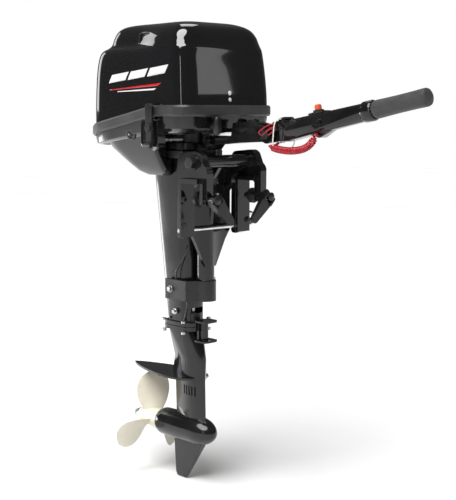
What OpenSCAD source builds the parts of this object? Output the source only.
// Outboard motor of the 9.8 hp class: short shaft, tiller steered, two clamp screws.
// Frame: +X forward (to the boat), +Y port, +Z up.
// Origin: the top edge of the transom's outer face, halfway across the motor.

/* [Overall] */
// Height of the transom seat above the anti-ventilation plate
transom_h = 452; // [440:1:545]
// Drive shaft axis, behind the transom face
drive_back = 80; // [80:1:90]
// Steering axis, behind the transom face
steer_back = 36; // [34:1:38]
// Tilt axis, ahead of the transom's outer face
tilt_x = 24; // [20:1:26]
// Tilt axis, above the transom seat
tilt_z = 44; // [42:1:50]

/* [Cowl] */
// Width of the top cowl
cowl_w = 268; // [262:1:322]
// Front of the top cowl, ahead of the transom face
cowl_front = 44; // [42:1:70]
// Back of the top cowl, behind the transom face
cowl_back = 296; // [294:1:340]
// Height of the cowl's crown above the seat
cowl_top = 346; // [344:1:420]
// Thickness of the cowl's skin
cowl_wall = 3.5; // [2.5:0.1:4.2]
// Height of the rubber band
band_h = 25; // [18:0.5:30]
// How far the rubber band stands out past the cowl
band_out = 8; // [5:0.5:10]
// Height of the band's middle at the front
band_z = 154; // [150:1:158]
// How much lower the band is at the back
band_drop = 48; // [30:1:50]

/* [Powerhead] */
// Cylinder bore
bore = 50; // [42:0.5:54]
// Piston stroke
stroke = 43; // [36:0.5:44]
// Distance between the two cylinders
cyl_pitch = 72; // [68:1:78]
// Length of a connecting rod between its eyes
rod_len = 85; // [76:0.5:86]
// Outside radius of the flywheel
flywheel_r = 86; // [70:1:88]
// Height of the powerhead's base above the seat
power_z = 84; // [84:1:88]

/* [Transom bracket] */
// Distance between the inner faces of the clamp brackets
bracket_gap = 132; // [130:1:140]
// Width of one clamp bracket
bracket_w = 30; // [26:1:34]
// Clear throat between the transom face and the bracket's arm
throat = 50; // [48:1:60]
// Depth of the bracket's plate below the seat
plate_h = 118; // [112:1:142]
// Distance between the transom bolt holes across the motor
bolt_span = 194; // [192:1:196]
// Height of the upper transom bolt holes below the seat
bolt_top = 36; // [34:1:44]
// Distance between the upper and lower transom bolt holes
bolt_drop = 56; // [48:1:58]
// Radius of a transom bolt hole
bolt_hole_r = 4.25; // [3.2:0.05:4.5]
// Radius of a clamp screw
screw_r = 7; // [6:0.25:8]
// Height of the clamp screws below the seat
screw_drop = 34; // [32:1:40]
// Length of a clamp screw's handle
clamp_handle_len = 74; // [60:1:76]

/* [Tilt and steering] */
// Radius of the tilt bolt
tilt_bolt_r = 8; // [6.5:0.25:9]
// Radius of the steering shaft
steer_r = 12; // [10:0.25:13]
// Outside radius of the swivel tube
swivel_r = 20; // [19:0.25:20]
// Radius of the thrust rod
thrust_r = 4.5; // [3.5:0.1:4.5]
// Depth of the thrust rod below the seat
thrust_drop = 104; // [103:1:105]

/* [Tiller] */
// Tiller pivot, ahead of the transom face
pivot_x = 176; // [170:1:211]
// Tiller pivot, above the seat
pivot_z = 104; // [102:1:106]
// Angle at which the tiller rises towards its grip
tiller_rise = 11; // [5:1:14]
// Length of the tiller arm from its pivot to the collar
arm_len = 243; // [203:1:292]
// Length of the twist grip
grip_len = 124; // [100:1:149]
// Radius of the twist grip
grip_r = 18; // [16:0.25:20]
// Half width of the tiller arm's root between the fork's ears
root_half = 14; // [12:0.25:15]

/* [Lower unit] */
// Diameter of the propeller
prop_d = 216; // [180:1:230]
// Gap between the blade tips and the anti-ventilation plate
tip_gap = 14; // [8:1:24]
// Radius of the propeller shaft
prop_shaft_r = 8; // [7:0.25:8.5]
// Outside radius of the torpedo
torpedo_r = 33; // [32:0.5:36]
// Radius of the drive shaft
drive_r = 6; // [5:0.25:6.5]
// Thickness of the anti-ventilation plate
plate_t = 5; // [4:0.5:8]
// Depth of the skeg below the torpedo's axis
skeg_drop = 122; // [100:1:146]
// Teeth of the pinion
pinion_teeth = 13; // [11:1:15]
// Teeth of the forward and reverse gears
gear_teeth = 27; // [24:1:29]

/* [Hidden] */
$fn = 64;

// Fits and clearances
run = 0.05;        // radial running clearance
gap = 0.5;         // gap between bodies that move past each other
seat_gap = 1;      // gap between pieces of one body that are bolted elsewhere
touch = 0.1;       // gap between two faces that are bolted together

// Axes and levels
drive_x = -drive_back;
steer_x = -steer_back;
plate_z = -transom_h;
prop_r = prop_d / 2;
prop_z = plate_z - plate_t - tip_gap - prop_r;
case_top = plate_z + 118;
bracket_in = bracket_gap / 2;
bracket_mid = bracket_in + bracket_w / 2;
bracket_out = bracket_in + bracket_w;
cowl_half = cowl_w / 2;
band_half = band_h / 2;
swivel_top = tilt_z + 4;
swivel_bottom = -222;
arm_z = swivel_top + 2;
arm_t = 16;
housing_half = 40;
housing_back = drive_x - 92;
housing_front = drive_x + 18;
foot_half = 30;
foot_back = drive_x - 60;
foot_front = drive_x + 26;

// ---------- Helpers ----------
function mix(a, b, t) = a + (b - a) * t;
function clamp01(t) = max(0, min(1, t));
function arc(c, r, a0, a1, n) = [for (i = [0:n]) c + r * [cos(mix(a0, a1, i / n)), sin(mix(a0, a1, i / n))]];
function between(p, q, n) = [for (i = [1:n - 1]) mix(p, q, i / n)];

// Plan outline of a cowl: a rectangle with front and back corner radii, always 52 points.
function plan(xf, xb, hw, rf, rb) = concat(
  arc([xf - rf, hw - rf], rf, 0, 90, 7),
  between([xf - rf, hw], [xb + rb, hw], 8),
  arc([xb + rb, hw - rb], rb, 90, 180, 7),
  between([xb, hw - rb], [xb, -hw + rb], 3),
  arc([xb + rb, -hw + rb], rb, 180, 270, 7),
  between([xb + rb, -hw], [xf - rf, -hw], 8),
  arc([xf - rf, -hw + rf], rf, 270, 360, 7),
  between([xf, -hw + rf], [xf, hw - rf], 3)
);

// Height of the band's middle at x: level in front, falling to the back.
bend_x = -50;
function band_at(x) = band_z - band_drop * clamp01((bend_x - x) / (cowl_back + bend_x));

// One ring of a loft, at height z over the band's front and drop times its slope.
function ring(o, z, drop = 0) = [for (p = o) [p[0], p[1], z + drop * (band_at(p[0]) - band_z)]];
function mean(r) = [for (k = [0:2]) let (v = [for (p = r) p[k]]) v * [for (p = r) 1] / len(r)];

// Skin through a chain of rings with equal counts; both ends are closed by fans.
module skin(rings, flip = false) {
  n = len(rings[0]);
  m = len(rings);
  pts = concat([for (r = rings) each r], [mean(rings[0]), mean(rings[m - 1])]);
  sides = [for (k = [0:m - 2], i = [0:n - 1]) let (a = k * n + i, b = k * n + (i + 1) % n)
    each [[a, a + n, b + n], [a, b + n, b]]];
  ends = [for (i = [0:n - 1]) let (j = (i + 1) % n)
    each [[m * n, i, j], [m * n + 1, (m - 1) * n + j, (m - 1) * n + i]]];
  faces = concat(sides, ends);
  polyhedron(pts, flip ? [for (f = faces) [f[2], f[1], f[0]]] : faces);
}

// Endless skin: the last ring joins the first.
module hoop(rings) {
  n = len(rings[0]);
  m = len(rings);
  pts = [for (r = rings) each r];
  polyhedron(pts, [for (k = [0:m - 1], i = [0:n - 1])
    let (a = k * n + i, b = k * n + (i + 1) % n, c = (k + 1) % m * n + i, d = (k + 1) % m * n + (i + 1) % n)
    each [[a, c, d], [a, d, b]]]);
}

// Solids along the three axes, from one end to the other.
module rod_x(x0, x1, r, y = 0, z = 0) translate([min(x0, x1), y, z]) rotate([0, 90, 0]) cylinder(h = abs(x1 - x0), r = r);
module rod_y(y0, y1, r, x = 0, z = 0) translate([x, max(y0, y1), z]) rotate([90, 0, 0]) cylinder(h = abs(y1 - y0), r = r);
module rod_z(z0, z1, r, x = 0, y = 0) translate([x, y, min(z0, z1)]) cylinder(h = abs(z1 - z0), r = r);
module block(a, b) translate(a) cube(b - a);
module side_plate(points, y0, y1) translate([0, max(y0, y1), 0]) rotate([90, 0, 0])
  linear_extrude(abs(y1 - y0)) polygon(points);
module mirrored() { children(); mirror([0, 1, 0]) children(); }
module hex_x(x0, x1, r, y = 0, z = 0) translate([min(x0, x1), y, z]) rotate([0, 90, 0])
  cylinder(h = abs(x1 - x0), r = r, $fn = 6);
module hex_y(y0, y1, r, x = 0, z = 0) translate([x, max(y0, y1), z]) rotate([90, 0, 0])
  cylinder(h = abs(y1 - y0), r = r, $fn = 6);

// ---------- Cowls ----------
// Levels of the top cowl from its rim to its crown: height, front, back, half width at the back,
// corner radii, the share of the band's slope that the level follows, and how much wider its front
// half is. The back half has a shoulder that the front half lacks.
dome = cowl_top - 346;
cowl_levels = [
  [band_z, cowl_front, -cowl_back, cowl_half, 34, 62, 1, 0],
  [band_z + 30, cowl_front - 1, -cowl_back, cowl_half, 34, 62, 0.8, 0],
  [214, cowl_front - 3, -cowl_back + 1, cowl_half - 1, 34, 62, 0.35, 0],
  [248, cowl_front - 6, -cowl_back + 3, cowl_half - 4, 34, 61, 0.1, 1],
  [274 + dome, cowl_front - 9, -cowl_back + 8, cowl_half - 8, 34, 60, 0, 3],
  [286 + dome, cowl_front - 10, -cowl_back + 15, cowl_half - 14, 34, 58, 0, 7],
  [292 + dome, cowl_front - 12, -cowl_back + 26, cowl_half - 22, 34, 54, 0, 13.5],
  [300 + dome, cowl_front - 14, -cowl_back + 35, cowl_half - 28, 34, 50, 0, 17],
  [316 + dome, cowl_front - 18, -cowl_back + 41, cowl_half - 32, 34, 48, 0, 15],
  [330 + dome, cowl_front - 26, -cowl_back + 50, cowl_half - 38, 34, 46, 0, 10],
  [339 + dome, cowl_front - 42, -cowl_back + 66, cowl_half - 50, 32, 42, 0, 6],
  [344 + dome, cowl_front - 64, -cowl_back + 96, cowl_half - 74, 26, 34, 0, 5],
  [346 + dome, cowl_front - 110, -cowl_back + 140, cowl_half - 108, 12, 18, 0, 0]
];
shoulder_from = -150;
shoulder_to = -40;
function fuller(o, hw, extra) = [for (p = o) let (t = clamp01((p[0] - shoulder_from) / (shoulder_to - shoulder_from)))
  [p[0], p[1] * (1 + extra / hw * t * t * (3 - 2 * t))]];
function cowl_ring(v, w, up) =
  ring(fuller(plan(v[1] - w, v[2] + w, v[3] - w, v[4] - w, v[5] - w), v[3], v[7]), v[0] - up, v[6]);
module top_cowl() color("#141414") {
  m = len(cowl_levels) - 1;
  skin(concat(
    [for (k = [m:-1:0]) cowl_ring(cowl_levels[k], cowl_wall, k == 0 ? 0 : cowl_wall * k / m)],
    [for (k = [0:m]) cowl_ring(cowl_levels[k], 0, 0)]
  ));
}

// Outline of the band's inner and outer faces, at a share of its height.
function band_ring(out, z) = ring(plan(cowl_front + out, -cowl_back - out, cowl_half + out, 34 + out, 62 + out), band_z + z, 1);
module cowl_band() color("#2b2b2b") hoop([
  band_ring(gap, band_half - 1),
  band_ring(gap, -band_half),
  band_ring(band_out - 3, -band_half),
  band_ring(band_out, -band_half + 4),
  band_ring(band_out, band_half - 5),
  band_ring(band_out - 3, band_half - 1)
]);

// Levels of the lower cowl from its rim to the belly's floor. Its front half is a shallow pan and
// its back half a deep belly.
pan_z = 104;
belly_x = steer_x - 58;
tub_levels = [
  [band_z - gap, cowl_front + 0, -cowl_back, cowl_half, 34, 62, 1],
  [band_z - band_half - 6, cowl_front, -cowl_back, cowl_half, 34, 62, 1],
  [pan_z + 12, cowl_front - 3, -cowl_back + 2, cowl_half - 3, 34, 60, 0.85],
  [pan_z + 3, cowl_front - 12, -cowl_back + 6, cowl_half - 12, 34, 58, 0.7],
  [pan_z, cowl_front - 30, -cowl_back + 9, cowl_half - 20, 30, 58, 0.6],
  [pan_z - 1, belly_x, -cowl_back + 14, cowl_half - 27, 10, 56, 0.5],
  [80, belly_x, -cowl_back + 22, cowl_half - 36, 10, 54, 0.3],
  [56, belly_x, -cowl_back + 38, cowl_half - 47, 10, 50, 0.1],
  [34, belly_x - 2, -cowl_back + 58, cowl_half - 60, 12, 44, 0],
  [18, belly_x - 6, -cowl_back + 80, cowl_half - 72, 14, 36, 0],
  [9, belly_x - 14, -cowl_back + 104, cowl_half - 84, 16, 26, 0]
];
function tub_ring(v, w, up) = ring(plan(v[1] - w, v[2] + w, v[3] - w, v[4] - w, v[5] - w), v[0] + up, v[6]);
module lower_cowl() color("#161616") difference() {
  m = len(tub_levels) - 1;
  skin(concat(
    [for (k = [m:-1:0]) tub_ring(tub_levels[k], cowl_wall, k < 4 ? 0 : cowl_wall)],
    [for (k = [0:m]) tub_ring(tub_levels[k], 0, 0)]
  ), true);
  block([housing_back - seat_gap, -housing_half - seat_gap, -5], [housing_front + 30, housing_half + seat_gap, power_z]);
  block([belly_x - 30, -64, arm_z - 3], [belly_x + 56, 64, power_z + 1]);
  rod_z(0, band_z, case_half + seat_gap, drive_x);
  rod_x(cowl_front - 12, cowl_front + 2, starter_r + gap, starter_y, starter_z);
  rod_x(cowl_front - 12, cowl_front + 2, choke_r + gap, choke_y, choke_z);
  rod_x(cowl_front - 12, cowl_front + 2, nipple_base_r + touch, nipple_y, nipple_z);
}
latch_x = -52;
latch_z = 118;
latch_y = -(cowl_half + band_out + 3);
module cowl_latch() color("#101010") {
  side_plate([for (p = concat(
    arc([latch_x, latch_z + 40], 12, 0, 180, 8),
    arc([latch_x, latch_z - 38], 7, 180, 360, 6))) p], latch_y, latch_y - 5);
  rod_y(latch_y - 5, latch_y - 9, 8, latch_x, latch_z);
  rod_y(latch_y, -cowl_half - gap, 4, latch_x, latch_z);
  rod_x(latch_x - 9, latch_x + 9, 5, latch_y - 6, latch_z - 36);
}

// ---------- Powerhead ----------
crank_top = power_z + 190;
low_cyl = power_z + 46;
high_cyl = low_cyl + cyl_pitch;
throw = stroke / 2;
bore_r = bore / 2;
piston_r = bore_r - run;
piston_len = 42;
deck_x = drive_x - throw - rod_len - piston_len / 2;
case_half = 48;
chamber_r = 40;
pin_r = 8;
wrist_r = 6;
rod_t = 12;
crank_r = 12;

module recoil_housing() color("#222222") {
  translate([drive_x, 0, 0]) difference() {
    rotate_extrude() polygon([[flywheel_r + 3, crank_top - 18], [flywheel_r + 7, crank_top - 18],
      [flywheel_r + 7, crank_top + 26], [flywheel_r - 14, crank_top + 48], [0, crank_top + 50],
      [0, crank_top + 46], [flywheel_r - 17, crank_top + 44], [flywheel_r + 3, crank_top + 24]]);
    for (a = [30:60:330]) rotate(a) translate([46, 0, crank_top + 30]) cylinder(h = 40, r = 8);
  }
}

starter_y = -52;
starter_z = 122;
starter_r = 7;
module starter_handle() color("#2a2a2a") {
  rod_x(cowl_front - 14, cowl_front + 10, starter_r, starter_y, starter_z);
  translate([cowl_front + 9, starter_y, starter_z]) hull() {
    translate([0, -7, -14]) cube([10, 14, 28]);
    translate([5, 0, -18]) cylinder(h = 36, r = 5, $fn = 32);
  }
}

choke_y = 52;
choke_z = 124;
choke_r = 4;
module choke_knob() color("#1a1a1a") {
  rod_x(cowl_front - 20, cowl_front + 8, choke_r, choke_y, choke_z);
  rod_x(cowl_front + 8, cowl_front + 20, 10, choke_y, choke_z);
}

module flywheel() color("#8b8f92") translate([drive_x, 0, 0]) difference() {
  rotate_extrude() polygon([[crank_r + run, crank_top - 12], [22, crank_top - 12], [22, crank_top + 2],
    [flywheel_r - 12, crank_top + 2], [flywheel_r - 12, crank_top - 14], [flywheel_r, crank_top - 14],
    [flywheel_r, crank_top + 12], [24, crank_top + 12], [20, crank_top + 20], [crank_r + run, crank_top + 20]]);
  for (a = [0:60:300]) rotate(a) translate([48, 0, crank_top]) cylinder(h = 14, r = 9);
}

module crank_at(z, side) {
  for (s = [-1, 1]) translate([drive_x, 0, z + s * (rod_t / 2 + 5)]) cylinder(h = 8, r = throw + pin_r + 4, center = true);
  rod_z(z - rod_t / 2 - 2, z + rod_t / 2 + 2, pin_r, drive_x + side * throw);
}
module crankshaft() color("#9a9d9f") difference() {
  union() {
    rod_z(power_z + 4, low_cyl - rod_t / 2 - 1, crank_r, drive_x);
    rod_z(low_cyl + rod_t / 2 + 1, high_cyl - rod_t / 2 - 1, crank_r, drive_x);
    rod_z(high_cyl + rod_t / 2 + 1, crank_top + 16, crank_r, drive_x);
    crank_at(low_cyl, -1);
    crank_at(high_cyl, 1);
  }
  rod_z(power_z, power_z + 24, drive_r + gap, drive_x);
}

module one_rod(z, side) {
  big = drive_x + side * throw;
  small = big - rod_len;
  translate([0, 0, z - rod_t / 2]) difference() {
    union() {
      translate([big, 0, 0]) cylinder(h = rod_t, r = pin_r + 6);
      translate([small, 0, 0]) cylinder(h = rod_t, r = wrist_r + 5);
      block([small, -6, 0], [big, 6, rod_t]);
    }
    translate([big, 0, -1]) cylinder(h = rod_t + 2, r = pin_r + run);
    translate([small, 0, -1]) cylinder(h = rod_t + 2, r = wrist_r + run);
  }
}
module connecting_rods() color("#b0b2b4") {
  one_rod(low_cyl, -1);
  one_rod(high_cyl, 1);
}

// A piston with its wrist pin, which stays fixed in the piston's bosses.
module one_piston(z, side) {
  eye = drive_x + side * throw - rod_len;
  crown = eye - piston_len / 2;
  difference() {
    rod_x(crown, crown + piston_len, piston_r, 0, z);
    rod_x(crown + 8, crown + piston_len + 1, bore_r - 5, 0, z);
    for (ring = [4, 8]) difference() {
      rod_x(crown + ring, crown + ring + 1.5, bore_r + 1, 0, z);
      rod_x(crown + ring - 1, crown + ring + 3, bore_r - 2, 0, z);
    }
  }
  rod_z(z - bore_r + 2, z + bore_r - 2, wrist_r, eye);
}
module pistons() color("#c4c6c8") {
  one_piston(low_cyl, -1);
  one_piston(high_cyl, 1);
}

block_top = high_cyl + 48;
module cylinder_block() color("#3b3d3f") difference() {
  union() {
    rod_z(power_z, block_top, case_half, drive_x);
    block([deck_x, -40, power_z], [drive_x, 40, block_top - 6]);
    for (k = [0:5]) block([deck_x + 6 + k * 10, -46, power_z + 6], [deck_x + 9 + k * 10, 46, block_top - 12]);
    block([drive_x, -26, low_cyl + 8], [drive_x + case_half + 8, 26, high_cyl - 8]);
  }
  rod_z(low_cyl - 24, high_cyl + 24, chamber_r, drive_x);
  rod_z(power_z - 1, block_top + 1, crank_r + run, drive_x);
  for (z = [low_cyl, high_cyl]) rod_x(deck_x - 1, drive_x, bore_r, 0, z);
  rod_x(drive_x, drive_x + case_half + 10, 12, 0, (low_cyl + high_cyl) / 2);
}

module cylinder_head() color("#44474a") difference() {
  union() {
    block([deck_x - 22, -42, power_z + 8], [deck_x - gap / 2, 42, block_top - 10]);
    for (k = [0:6]) block([deck_x - 28, -36, power_z + 16 + k * 22], [deck_x - 20, 36, power_z + 20 + k * 22]);
  }
  for (z = [low_cyl, high_cyl]) {
    rod_x(deck_x - 40, deck_x + 1, 7, 0, z);
    rod_x(deck_x - 40, deck_x - 14, 13, 0, z);
    rod_x(deck_x - 6, deck_x + 1, bore_r - 2, 0, z);
  }
}

module one_plug(z) {
  rod_x(deck_x - 14, deck_x - 4, 7 - run, 0, z);
  hex_x(deck_x - 22, deck_x - 14, 11, 0, z);
  rod_x(deck_x - 44, deck_x - 22, 6, 0, z);
  rod_x(deck_x - 50, deck_x - 44, 3, 0, z);
}
module spark_plugs() color("#e9e6de") {
  one_plug(low_cyl);
  one_plug(high_cyl);
}

carb_z = (low_cyl + high_cyl) / 2;
carb_x = drive_x + case_half + 8 + seat_gap / 2;
carb_len = 44;
module carburettor() color("#a3a6a8") difference() {
  union() {
    rod_x(carb_x, carb_x + carb_len, 19, 0, carb_z);
    block([carb_x, -26, carb_z - 16], [carb_x + 5, 26, carb_z + 16]);
    rod_z(carb_z - 44, carb_z, 17, carb_x + 24);
    rod_y(10, 34, 5, carb_x + 24, carb_z + 6);
  }
  rod_x(carb_x - 1, carb_x + carb_len + 1, 12, 0, carb_z);
}

module intake_silencer() color("#1d1d1d") difference() {
  x0 = carb_x + carb_len + seat_gap / 2;
  block([x0, -44, carb_z - 34], [cowl_front - 10, 44, carb_z + 40]);
  block([x0 + 2.5, -41, carb_z - 31], [cowl_front - 12.5, 41, carb_z + 37]);
  rod_x(x0 - 1, x0 + 4, 12, 0, carb_z);
  for (y = [-30:10:30]) block([x0 - 1, y - 2.5, carb_z + 24], [x0 + 4, y + 2.5, carb_z + 34]);
}

module ignition_coil() color("#26282a") {
  block([drive_x + 8, -96, low_cyl + 6], [drive_x + 52, -70, low_cyl + 50]);
  rod_x(drive_x - 10, drive_x + 8, 6, -83, low_cyl + 20);
  rod_x(drive_x - 10, drive_x + 8, 6, -83, low_cyl + 38);
}

nipple_y = 86;
nipple_z = 124;
nipple_r = 4;
nipple_base_r = 9;
module fuel_connector() color("#b9bbbd") {
  rod_x(cowl_front - 10, cowl_front + 2, nipple_base_r, nipple_y, nipple_z);
  hex_x(cowl_front + 2, cowl_front + 8, 10, nipple_y, nipple_z);
  rod_x(cowl_front + 8, cowl_front + 22, nipple_r, nipple_y, nipple_z);
}

// ---------- Shift ----------
shift_x = -44;
shift_z = 92;
module shift_lever() color("#8f9396") {
  rod_y(-62, -124, 4.5, shift_x, shift_z);
  translate([shift_x, -124, shift_z]) sphere(r = 8);
  side_plate([[shift_x - 5, shift_z + 4], [shift_x + 5, shift_z + 4], [shift_x - 24, shift_z - 26], [shift_x - 32, shift_z - 22]],
    -120, -114);
}

shift_rod_x = drive_x - 27;
module shift_rod() color("#a9acae") rod_z(prop_z + torpedo_r - 3, power_z - 14, 3, shift_rod_x);

// ---------- Mid section ----------
// Outline of the drive-shaft housing: a tapered oval with a flat back.
function oval(xf, xb, hw) = plan(xf, xb, hw, min(hw - 4, 26), min(hw - 4, 20));
module slab(o, z, h) translate([0, 0, z]) linear_extrude(h) polygon(o);

housing_top = power_z - gap;
yoke_z = swivel_bottom - 3;
yoke_h = 46;
foot_z = case_top + seat_gap;
module drive_housing() color("#151515") difference() {
  union() {
    slab(oval(housing_front, housing_back, housing_half), 0, housing_top - 10);
    slab(plan(housing_front + 30, housing_back - 26, 58, 22, 22), housing_top - 14, 14);
    hull() {
      slab(oval(housing_front, housing_back, housing_half), 0, 1);
      slab(oval(foot_front - 8, foot_back, foot_half), foot_z, 1);
    }
    slab(plan(foot_front + 2, foot_back - 8, foot_half + 5, 22, 18), foot_z, 9);
  }
  rod_z(foot_z - 1, housing_top + 1, drive_r + 7, drive_x);
  rod_z(foot_z - 1, foot_z + 42, pump_r + seat_gap, drive_x);
  rod_z(foot_z - 1, housing_top + 1, 14, housing_back + 34, 0);
  rod_z(foot_z - 1, housing_top + 1, 3 + gap, shift_rod_x);
  rod_z(arm_z + arm_t, housing_top + 1, 26 + seat_gap, steer_x);
}

mount_z = arm_z + arm_t / 2;
mount_x = housing_back + 56;
low_mount_x = drive_x - 24;
low_mount_z = yoke_z - yoke_h / 2;
low_half = 39;
module rubber_mounts() color("#1b1b1b") mirrored() {
  rod_y(housing_half + 0.2, 47.8, 13, mount_x, mount_z - 6);
  rod_y(mix(housing_half, foot_half, low_mount_z / foot_z) - 1, low_half - 0.2, 15, low_mount_x, low_mount_z);
}

module steering_shaft() color("#8a8e91") rod_z(yoke_z - yoke_h, arm_z + arm_t + 4, steer_r, steer_x);

// Fork that carries the powerhead on the steering shaft's top.
module steering_arm() color("#1a1a1a") difference() {
  union() {
    rod_z(arm_z, arm_z + arm_t, 26, steer_x);
    slab([[steer_x, -26], [steer_x, 26], [steer_x - 8, 60], [mount_x - 14, 60], [mount_x - 14, 48], [steer_x - 44, 48],
      [steer_x - 44, -48], [mount_x - 14, -48], [mount_x - 14, -60], [steer_x - 8, -60]], arm_z, arm_t);
  }
  block([housing_back - 10, -housing_half - seat_gap, arm_z - 1], [housing_front + seat_gap, housing_half + seat_gap, arm_z + arm_t + 1]);
  rod_z(arm_z - 1, arm_z + arm_t + 1, steer_r, steer_x);
}

module lower_yoke() color("#1a1a1a") difference() {
  z0 = yoke_z - yoke_h;
  union() {
    rod_z(z0, yoke_z, 24, steer_x);
    slab([[steer_x, -24], [steer_x, 24], [steer_x - 16, 46], [low_mount_x - 18, 46], [low_mount_x - 18, low_half],
      [steer_x - 18, low_half], [steer_x - 18, -low_half], [low_mount_x - 18, -low_half], [low_mount_x - 18, -46],
      [steer_x - 16, -46]], z0, yoke_h);
  }
  rod_z(z0 - 1, yoke_z + 1, steer_r, steer_x);
}

bush_r = steer_r + 3;
module swivel_bushes() color("#d8d2bd") for (z = [swivel_bottom, swivel_top - 26]) difference() {
  rod_z(z, z + 26, bush_r, steer_x);
  rod_z(z - 1, z + 27, steer_r + run, steer_x);
}

tilt_tube_r = tilt_bolt_r + 6;
cheek_out = bracket_in - 4;
// Cross web between the clamp brackets, in front of the swivel's axis and behind the thrust rod.
web_half = bracket_in - 6;
web_back = steer_x + 8;
web_front = steer_x + swivel_r - 3;
module web() rotate([90, 0, 90]) translate([0, 0, web_back]) linear_extrude(web_front - web_back)
  polygon([[web_half, -10], [web_half, -plate_h + 6], [web_half - 14, -plate_h - 14], [swivel_r - 4, -plate_h - 74],
    [4 - swivel_r, -plate_h - 74], [14 - web_half, -plate_h - 14], [-web_half, 6 - plate_h], [-web_half, -10]]);
module swivel_bracket() color("#1c1c1c") difference() {
  union() {
    rod_z(swivel_bottom, swivel_top, swivel_r, steer_x);
    rod_y(-bracket_in + gap, bracket_in - gap, tilt_tube_r, tilt_x, tilt_z);
    web();
    mirrored() side_plate([[steer_x - 4, swivel_top - 2], [steer_x - 4, -20], [steer_x + 8, -34], [-4, -6], [-4, 4],
      [tilt_x + 10, tilt_z - 8], [tilt_x + 6, tilt_z + 12], [tilt_x - 14, tilt_z + 6], [8, swivel_top - 2]],
      cheek_out - 12, cheek_out);
    block([steer_x - 4, -cheek_out, -20], [steer_x + 10, cheek_out, swivel_top - 2]);
    side_plate([[steer_x, -120], [steer_x + swivel_r - 1, -100], [-6, -20], [-6, 6], [tilt_x, tilt_z], [0, swivel_top], [steer_x, swivel_top]], -5, 5);
  }
  rod_z(swivel_bottom - 1, swivel_top + 1, steer_r + 0.6, steer_x);
  for (z = [swivel_bottom, swivel_top - 26]) rod_z(z - 1, z + 27, bush_r, steer_x);
  rod_y(-bracket_in - 1, bracket_in + 1, tilt_bolt_r + run, tilt_x, tilt_z);
}

// ---------- Transom bracket ----------
arm_front = throat + 12;
screw_y = bracket_mid;
plate_back = -26;
thrust_x = -10.5;
module bracket_side(points) side_plate(points, bracket_in, bracket_out);
module clamp_bracket() difference() {
  union() {
    side_plate(concat(
      [[0, 0], [0, -plate_h], [-12, -plate_h - 4]], arc([plate_back + 6, -plate_h + 4], 8, 250, 180, 4),
      [[plate_back, 30]], arc([plate_back + 14, tilt_z + 6], 14, 180, 100, 6),
      arc([tilt_x + 6, tilt_z + 2], 22, 100, 40, 6), arc([arm_front - 14, 22], 18.5, 62, -8, 8),
      [[arm_front + 4, -screw_drop + 8], [arm_front, -screw_drop - 12], [throat, -screw_drop - 12], [throat, -8], [throat - 8, 0]]),
      bracket_in + 6, bracket_out - 6);
    side_plate([[0, 0], [0, -plate_h], [-8, -plate_h], [-8, 10], [throat, 10], [throat, 0]], bracket_in, bracket_out + 8);
    side_plate([[throat, 10], [throat, -screw_drop - 10], [throat + 9, -screw_drop - 10], [throat + 9, 10]], bracket_in + 2, bracket_out);
    rod_x(throat, arm_front + 2, screw_r + 6, screw_y, -screw_drop);
    rod_y(bracket_in, bracket_out - 2, tilt_tube_r + 2, tilt_x, tilt_z);
    rod_y(bracket_in + 2, bracket_out - 2, thrust_r + 5, thrust_x - 1, -thrust_drop);
  }
  rod_y(bracket_in - 1, bracket_out + 9, tilt_bolt_r + run, tilt_x, tilt_z);
  for (k = [0:2]) rod_y(bracket_in - 1, bracket_out + 9, thrust_r + run, thrust_x, -thrust_drop + k * 26);
  rod_x(throat - 1, arm_front + 10, screw_r + run, screw_y, -screw_drop);
  for (z = [-bolt_top, -bolt_top - bolt_drop]) rod_x(-40, 1, bolt_hole_r, bolt_span / 2, z);
}
module clamp_bracket_port() color("#181818") clamp_bracket();
module clamp_bracket_starboard() color("#181818") mirror([0, 1, 0]) clamp_bracket();

module tilt_bolt() color("#c9ccce") {
  rod_y(-bracket_out - 2, bracket_out + 2, tilt_bolt_r, tilt_x, tilt_z);
  hex_y(bracket_out - 1.6, bracket_out + 8, 13, tilt_x, tilt_z);
  hex_y(-bracket_out + 1.6, -bracket_out - 8, 13, tilt_x, tilt_z);
}

// The pad's face stands back from the transom face by pad_x at rest.
pad_x = 30;
pad_t = 7;
screw_travel_in = 5;
hub_x = arm_front + screw_travel_in + 7;
hub_len = 15;
module clamp_pad() color("#2e2f30") difference() {
  rod_x(pad_x, pad_x + pad_t, 17, screw_y, -screw_drop);
  rod_x(pad_x + 3, pad_x + pad_t + 1, screw_r - 1.5 + run, screw_y, -screw_drop);
}
module clamp_pad_port() clamp_pad();
module clamp_pad_starboard() mirror([0, 1, 0]) clamp_pad();

handle_r = 5;
module clamp_screw() color("#c5c8ca") difference() {
  union() {
    rod_x(pad_x + 3.2, pad_x + pad_t + 2, screw_r - 1.5, screw_y, -screw_drop);
    rod_x(pad_x + pad_t + 0.4, hub_x, screw_r, screw_y, -screw_drop);
    rod_x(hub_x, hub_x + hub_len, screw_r + 2, screw_y, -screw_drop);
  }
  rod_y(screw_y - 20, screw_y + 20, handle_r + run, hub_x + hub_len / 2, -screw_drop);
}
// Each screw and its handle rest turned about the screw's axis, so that the handle hangs inward.
handle_turn = -43;
module on_screw() translate([0, screw_y, -screw_drop]) rotate([handle_turn, 0, 0])
  translate([0, -screw_y, screw_drop]) children();
module clamp_screw_port() on_screw() clamp_screw();
module clamp_screw_starboard() mirror([0, 1, 0]) on_screw() clamp_screw();

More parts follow.
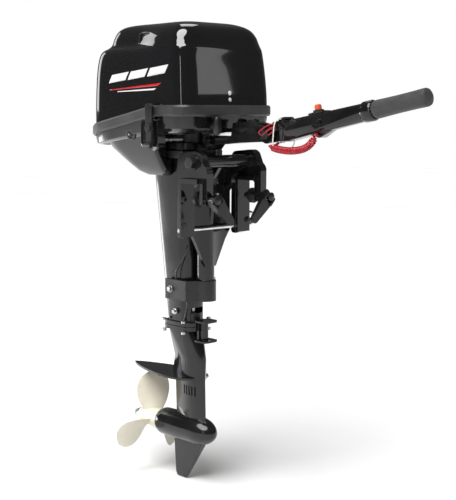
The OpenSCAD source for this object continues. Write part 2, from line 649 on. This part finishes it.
// A flat tapered handle with two ears and a pin through the screw's head.
ear_in = screw_r + 2 + gap;
module clamp_handle() color("#232425") translate([hub_x + hub_len / 2, screw_y, -screw_drop]) {
  rod_y(-ear_in - 5, ear_in + 5, handle_r);
  mirrored() side_plate(concat(arc([0, 0], 9, 0, 180, 8), [[-9, -16], [9, -16]]), ear_in, ear_in + 5);
  hull() {
    block([-6, -ear_in - 5, -19], [6, ear_in + 5, -13]);
    rod_x(-4, 4, 9, 0, -clamp_handle_len + 9);
  }
}
module clamp_handle_port() on_screw() clamp_handle();
module clamp_handle_starboard() mirror([0, 1, 0]) on_screw() clamp_handle();

// Thrust rod, with a hooked end to port by which it is pulled out.
rod_half = bracket_out + 14;
hook_r = 13;
module thrust_rod() color("#d0d3d5") {
  rod_y(-bracket_out - 6, rod_half + 4, thrust_r, thrust_x, -thrust_drop);
  translate([thrust_x, rod_half + 4, -thrust_drop + hook_r]) rotate([0, 90, 0])
    rotate_extrude(angle = 200) translate([hook_r, 0]) circle(r = thrust_r);
}

// ---------- Tiller ----------
// Children are drawn in the tiller's own frame: x along the arm, origin on its pivot.
module on_tiller() translate([pivot_x, 0, pivot_z]) rotate([0, -tiller_rise, 0]) children();
ear_half = root_half + gap;
ear_t = 9;
eye_r = 17;
pivot_r = 7;
bracket_z = arm_z + arm_t + touch;
module tiller_bracket() color("#181818") difference() {
  union() {
    rod_z(bracket_z, bracket_z + 15, 26, steer_x);
    side_plate([[steer_x - 8, bracket_z + 2], [-8, bracket_z + 2], [4, bracket_z + 14], [52, bracket_z + 16],
      [96, pivot_z - 18], [pivot_x, pivot_z - eye_r + 3],
      [pivot_x, pivot_z + eye_r - 2], [120, pivot_z + 27], [cowl_front + 32, pivot_z + 24], [cowl_front + 26, pan_z - 4],
      [-20, pan_z - 4], [-22, bracket_z + 15], [steer_x - 8, bracket_z + 15]], -ear_half - ear_t, ear_half + ear_t);
    rod_y(-ear_half - ear_t - 0.6, ear_half + ear_t + 0.6, eye_r + 1, pivot_x, pivot_z);
    mirrored() side_plate([[84, pivot_z + 6], [84, pivot_z + 16], [pivot_x - 26, pivot_z + 14], [pivot_x - 26, pivot_z + 4]],
      ear_half + ear_t, ear_half + ear_t + 3);
  }
  block([pivot_x - eye_r - 19, -ear_half, 0], [pivot_x + 60, ear_half, pivot_z + 60]);
  mirrored() block([4, ear_half + 1, bracket_z - 1], [cowl_front + 20, ear_half + ear_t + 1, pan_z]);
  rod_y(-40, 40, pivot_r + run, pivot_x, pivot_z);
  rod_z(0, arm_z + arm_t + 4.5, steer_r + gap, steer_x);
}

module tiller_bolt() color("#bfc2c4") {
  rod_y(-ear_half - ear_t - 1, ear_half + ear_t + 1, pivot_r, pivot_x, pivot_z);
  mirrored() hex_y(ear_half + ear_t + 0.6 + touch, ear_half + ear_t + 7, 11, pivot_x, pivot_z);
}

arm_start = 46;
module tiller_arm() color("#171717") on_tiller() difference() {
  union() {
    rod_y(-root_half, root_half, eye_r, 0, 0);
    side_plate([[0, -eye_r], [arm_start + 14, -19], [arm_start + 14, 20], [arm_start - 8, 24], [14, 24], [0, eye_r]], -root_half, root_half);
    hull() {
      side_plate([[arm_start - 16, -20], [arm_start + 4, -20], [arm_start + 4, 20], [arm_start - 16, 20]], -18, 18);
      rod_x(arm_len - 4, arm_len, 18);
    }
    hull() {
      rod_x(88, 92, 12, 0, -2);
      translate([130, 0, -19]) rotate([90, 0, 0]) cylinder(h = 20, r = 10, center = true, $fn = 32);
      rod_x(178, 182, 12, 0, -2);
    }
    rod_y(-21, 0, 11, 134, 0);
    rod_y(-23, 0, 5, 134, 0);
    side_plate([[28, 24], [31, 29], [arm_start, 29], [arm_start + 4, 24]], -13, 13);
  }
  rod_y(-30, 30, pivot_r + run, 0, 0);
  rod_x(arm_start + 30, arm_len + 1, 5.5);
}

collar_len = 26;
module grip_collar() color("#8d9194") on_tiller() difference() {
  rotate([0, 90, 0]) rotate_extrude() polygon([[5.5, arm_len + 0.3], [19, arm_len + 0.3], [20.5, arm_len + 3],
    [20.5, arm_len + collar_len - 4], [18.5, arm_len + collar_len], [5.5, arm_len + collar_len]]);
}

grip_start = arm_len + collar_len + gap;
grip_end = grip_start + grip_len;
module throttle_grip() color("#2c2c2c") on_tiller() {
  rotate([0, 90, 0]) rotate_extrude() polygon(concat(
    [[0, grip_start - 60], [5.4, grip_start - 60], [5.4, grip_start], [grip_r - 3.5, grip_start]],
    arc([grip_r - 3.5, grip_start + 3.5], 3.5, -60, 0, 4),
    [[grip_r, grip_start + 12], [grip_r - 1, grip_start + grip_len / 2], [grip_r - 0.4, grip_end - 8],
     [grip_r - 0.4, grip_end - 4], [grip_r - 2, grip_end], [grip_r - 5, grip_end], [grip_r - 8, grip_end - 4], [0, grip_end - 5]]));
}

// Stop switch on top of the arm, with the button across the arm's own frame.
stop_at = 128;
stop_z = 20;
stop_top = stop_z + 7;
button_top = stop_top + 11;
module stop_switch() color("#101010") on_tiller() difference() {
  union() {
    block([stop_at - 17, -13, stop_z - 0.5], [stop_at + 20, 13, stop_z + 3]);
    rod_z(stop_z, stop_top, 11, stop_at);
  }
  rod_z(stop_z + 0.6, stop_top + 1, 7 + run, stop_at);
}
module stop_button() color("#d8401c") on_tiller() {
  rod_z(stop_z + 4, button_top - 2, 7, stop_at);
  rod_z(button_top - 2, button_top, 5.8, stop_at);
}

// ---------- Lanyard ----------
// Middle of the coiled lanyard from its clip under the arm to its end under the tiller's root.
cord_r = 8;
lanyard_route = [
  [308, -24, 102], [305, -26, 94], [299, -26, 88], [290, -26, 82], [277, -26, 77], [260, -26, 74],
  [241, -26, 73], [222, -26, 74], [207, -26, 76], [199, -26, 78], [192, -26, 80]
];
function unit(v) = v / norm(v);
function tube_ring(p, dir, r, n) = let (a = unit(cross(dir, [0, 1, 0])), b = cross(dir, a))
  [for (i = [0:n - 1]) p + r * (cos(360 * i / n) * a + sin(360 * i / n) * b)];
function heading(line, k) = unit(line[min(k + 1, len(line) - 1)] - line[max(k - 1, 0)]);
module tube(line, r, n = 10) skin([for (k = [0:len(line) - 1]) tube_ring(line[k], heading(line, k), r, n)], true);
module lanyard_cord() color("#c2182e") tube(lanyard_route, cord_r);

first_dir = heading(lanyard_route, 0);
last_dir = heading(lanyard_route, len(lanyard_route) - 1);
clip_r = 3;
// Turns a point of the tiller's own frame into the part's frame.
function on_arm(q) = [pivot_x + q[0] * cos(tiller_rise) - q[2] * sin(tiller_rise), q[1],
  pivot_z + q[0] * sin(tiller_rise) + q[2] * cos(tiller_rise)];
module link(a, b) hull() for (c = [a, b]) translate(c) sphere(r = clip_r, $fn = 24);
module lanyard_clips() color("#b01226") {
  link(lanyard_route[0] - 3.5 * first_dir, on_arm([128, -10 - clip_r - gap, -22]));
  q = lanyard_route[len(lanyard_route) - 1] + 4.5 * last_dir;
  link(q, [q[0] + 1, -10, q[2] + 1]);
  link([q[0] + 1, -10, q[2] + 1], on_arm([14, -8, -eye_r - clip_r - gap]));
}

// ---------- Lower unit ----------
pump_r = 22;
splash_z = foot_z + 12;
module splash_plates() color("#161616") {
  for (z = [splash_z, case_top - 32]) slab(plan(foot_front + 40, foot_front + 3, 22, 12, 4), z, 4);
  rod_z(case_top - 28, splash_z, 9, foot_front + 14);
  block([foot_front + 2 + touch, -12, case_top - 32], [foot_front + 8, 12, splash_z + 4]);
}

strut_half = 14;
torpedo_back = drive_x - 104;
torpedo_nose = drive_x + 72;
cavity_r = torpedo_r - 5;
bearing_x = torpedo_back + 54;
cavity_end = drive_x + 38;
strut_front = drive_x + 42;
strut_back = drive_x - 56;
// Lens-shaped plan of the strut.
function lens(xf, xb, hw, n = 12) = concat(
  [for (i = [0:n]) let (t = i / n) [mix(xf, xb, t), hw * sin(180 * pow(t, 0.7))]],
  [for (i = [n - 1:-1:1]) let (t = i / n) [mix(xf, xb, t), -hw * sin(180 * pow(t, 0.7))]]);
// Plan of the anti-ventilation plate: round at the front, a long taper to the back.
plate_back_x = drive_x - 210;
plate_front_x = drive_x + 38;
function ventilation_plan() = concat(
  [for (i = [0:16]) let (t = i / 16) [mix(plate_front_x, plate_back_x, t), 46 * pow(sin(180 * pow(t, 0.62)), 0.75) + 4 * t * (1 - t)]],
  [for (i = [15:-1:1]) let (t = i / 16) [mix(plate_front_x, plate_back_x, t), -46 * pow(sin(180 * pow(t, 0.62)), 0.75) - 4 * t * (1 - t)]]);
module gearcase() color("#141414") difference() {
  union() {
    slab(plan(foot_front + 2, foot_back - 8, foot_half + 5, 22, 18), case_top - 9, 9);
    hull() {
      slab(oval(foot_front - 8, foot_back, foot_half), case_top - 10, 1);
      slab(lens(strut_front, strut_back - 6, strut_half + 9), plate_z + 40, 1);
    }
    hull() {
      slab(lens(strut_front, strut_back - 6, strut_half + 9), plate_z + 40, 1);
      slab(lens(strut_front, strut_back - 14, strut_half + 10), plate_z - plate_t, 1);
    }
    slab(ventilation_plan(), plate_z - plate_t, plate_t);
    hull() {
      slab(lens(strut_front, strut_back - 4, strut_half + 2), plate_z - plate_t - 1, 1);
      slab(lens(strut_front + 2, strut_back, strut_half), prop_z, 1);
    }
    translate([0, 0, prop_z]) rotate([0, 90, 0]) rotate_extrude() polygon(concat(
      [[0, torpedo_back], [torpedo_r - 4, torpedo_back], [torpedo_r - 1, torpedo_back + 8], [torpedo_r, torpedo_back + 40]],
      [for (i = [0:12]) [torpedo_r * cos(90 * i / 12), mix(drive_x + 16, torpedo_nose, sin(90 * i / 12))]]));
    hull() {
      block([drive_x - 58, -7, prop_z - torpedo_r + 4], [drive_x + 38, 7, prop_z - torpedo_r + 6]);
      side_plate([[drive_x - 58, prop_z - torpedo_r], [drive_x - 57, prop_z - skeg_drop + 8], [drive_x - 52, prop_z - skeg_drop],
        [drive_x - 24, prop_z - skeg_drop], [drive_x - 18, prop_z - skeg_drop + 6], [drive_x + 34, prop_z - torpedo_r]], -3, 3);
    }
  }
  rod_z(prop_z, case_top + 1, drive_r + 3, drive_x);
  rod_x(torpedo_back - 1, cavity_end, cavity_r, 0, prop_z);
  rod_z(prop_z, case_top + 1, 3 + gap, shift_rod_x);
  for (s = [-1, 1], k = [0:4]) block([drive_x - 16 + k * 9, min(s * 10, s * 30), plate_z - 44], [drive_x - 12 + k * 9, max(s * 10, s * 30), plate_z - 22]);
}

module bearing_carrier() color("#aeb1b3") difference() {
  rod_x(torpedo_back + 2, bearing_x, cavity_r - run, 0, prop_z);
  rod_x(torpedo_back, bearing_x + 1, prop_shaft_r + run, 0, prop_z);
  for (a = [30:60:330]) rod_x(torpedo_back, torpedo_back + 14, 3.5, 18.5 * cos(a), prop_z + 18.5 * sin(a));
}

pump_top = foot_z + 30;
module water_pump() color("#83878a") difference() {
  rod_z(case_top + seat_gap / 2, pump_top, pump_r, drive_x);
  rod_z(case_top + 8, pump_top - 5, pump_r - 4, drive_x);
  rod_z(case_top - 1, pump_top + 1, drive_r + run, drive_x);
}

// Gears: the pitch cones stand a hair apart, so that no tooth enters another.
mesh_gap = 0.5;
gear_r = 26;
pinion_pitch_r = gear_r * pinion_teeth / gear_teeth;
function toothed(teeth, r_out, r_in) = [for (k = [0:teeth - 1]) let (a = 360 / teeth)
  each [for (f = [[-0.42, r_in], [-0.22, r_out], [0.22, r_out], [0.42, r_in]]) f[1] * [cos((k + f[0]) * a), sin((k + f[0]) * a)]]];
module toothed_disc(teeth, r, depth, h) linear_extrude(h) polygon(toothed(teeth, r, r - depth));

module drive_shaft() color("#9ea1a3") {
  rod_z(prop_z + pinion_pitch_r + 12, power_z + 22, drive_r, drive_x);
  for (a = [0:60:300]) translate([drive_x, 0, case_top + 10]) rotate(a)
    block([drive_r - 1, -1.2, 0], [pump_r - 5, 1.2, 12]);
  rod_z(case_top + 10, case_top + 22, drive_r + 4, drive_x);
}
module pinion_gear() color("#b5a27a") translate([drive_x, 0, prop_z + pinion_pitch_r + 1]) {
  toothed_disc(pinion_teeth, pinion_pitch_r, 2, 9);
  translate([0, 0, 9]) cylinder(h = 2, r = drive_r + 1.5);
}
gear_face = pinion_pitch_r + mesh_gap;
module side_gear(side) translate([drive_x + side * gear_face, 0, prop_z]) rotate([0, side * 90, 0]) difference() {
  union() {
    toothed_disc(gear_teeth, gear_r, 2.4, 7);
    translate([0, 0, 7]) cylinder(h = 11, r = 15);
  }
  translate([0, 0, -1]) cylinder(h = 30, r = prop_shaft_r + run);
}
module forward_gear() color("#b5a27a") side_gear(1);
module reverse_gear() color("#b5a27a") side_gear(-1);

dog_half = 8;
module dog_clutch() color("#a08f6a") difference() {
  union() {
    rod_x(drive_x - dog_half + 2, drive_x + dog_half - 2, pinion_pitch_r - 1, 0, prop_z);
    rod_x(drive_x - dog_half, drive_x + dog_half, pinion_pitch_r - 3, 0, prop_z);
  }
  rod_x(drive_x - 20, drive_x + 20, prop_shaft_r + run, 0, prop_z);
}

hub_front = torpedo_back - 3;
hub_length = 76;
hub_back = hub_front - hub_length;
shaft_end = hub_back - 20;
module propeller_shaft() color("#c3c6c8") {
  rod_x(shaft_end, drive_x + gear_face + 20, prop_shaft_r, 0, prop_z);
}

// One blade as a closed skin: rings across the blade from its root to its tip.
blade_count = 3;
pitch_rise = 190;
blade_mid = hub_front - 36;
function blade_chord(t) = 36 + 52 * pow(sin(180 * min(0.5, 0.62 * t)), 1) * sqrt(max(0.001, 1 - pow(max(0, t - 0.55) / 0.45, 2.6)));
function blade_ring(t) = let (r = mix(14, prop_r, t), c = blade_chord(t), thick = mix(7, 2.4, t) * (t > 0.97 ? 0.5 : 1),
    rise = atan(pitch_rise / (2 * PI * max(r, 30))), sweep = 10 * t * t)
  [for (i = [0:15]) let (a = 360 * i / 16, s = cos(a) * c / 2, d = sin(a) * thick / 2,
      ang = (s * cos(rise) - d * sin(rise)) / r * 180 / PI + sweep, x = s * sin(rise) + d * cos(rise) - 12 * t * t)
    [blade_mid + x, r * sin(ang), prop_z + r * cos(ang)]];
module propeller() color("#e9e4d2") difference() {
  union() {
    translate([0, 0, prop_z]) rotate([0, 90, 0]) rotate_extrude()
      polygon([[0, hub_back], [16, hub_back], [20, hub_back + 20], [25, hub_front - 14], [26, hub_front], [0, hub_front]]);
    for (k = [0:blade_count - 1]) translate([0, 0, prop_z]) rotate([120 * k, 0, 0]) translate([0, 0, -prop_z])
      skin([for (j = [0:12]) blade_ring(j / 12)], true);
  }
  rod_x(hub_back - 1, hub_front + 1, prop_shaft_r, 0, prop_z);
}

module prop_nut() color("#b8bbbd") difference() {
  union() {
    hex_x(hub_back - 10, hub_back - 0.3, 13, 0, prop_z);
    rod_x(hub_back - 14, hub_back - 10, 10, 0, prop_z);
  }
  rod_x(hub_back - 15, hub_back + 1, prop_shaft_r, 0, prop_z);
}

module anode() color("#a7aaa6") difference() {
  block([drive_x - 128, -9, plate_z - plate_t - 14.3], [drive_x - 88, 9, plate_z - plate_t - 0.3]);
  rod_z(plate_z - 40, plate_z, 3, drive_x - 108);
}

module case_bolts() color("#c0c3c5") {
  for (x = [foot_back + 6, foot_front - 14], s = [-1, 1])
    translate([x, s * (foot_half + 9), 0]) {
      rod_z(case_top - 15, case_top - 9.3, 5);
      rod_z(case_top + 10.5, case_top + 15, 5);
    }
}

top_cowl();
cowl_band();
lower_cowl();
cowl_latch();
recoil_housing();
starter_handle();
choke_knob();
flywheel();
cylinder_block();
cylinder_head();
carburettor();
intake_silencer();
ignition_coil();
spark_plugs();
crankshaft();
connecting_rods();
pistons();
fuel_connector();
shift_lever();
shift_rod();
drive_shaft();
drive_housing();
rubber_mounts();
steering_shaft();
steering_arm();
lower_yoke();
swivel_bracket();
swivel_bushes();
clamp_bracket_port();
clamp_bracket_starboard();
tilt_bolt();
clamp_pad_port();
clamp_pad_starboard();
clamp_screw_port();
clamp_screw_starboard();
clamp_handle_port();
clamp_handle_starboard();
thrust_rod();
tiller_bracket();
tiller_bolt();
tiller_arm();
grip_collar();
throttle_grip();
stop_switch();
stop_button();
lanyard_cord();
lanyard_clips();
splash_plates();
gearcase();
bearing_carrier();
water_pump();
pinion_gear();
forward_gear();
reverse_gear();
dog_clutch();
propeller_shaft();
propeller();
prop_nut();
anode();
case_bolts();
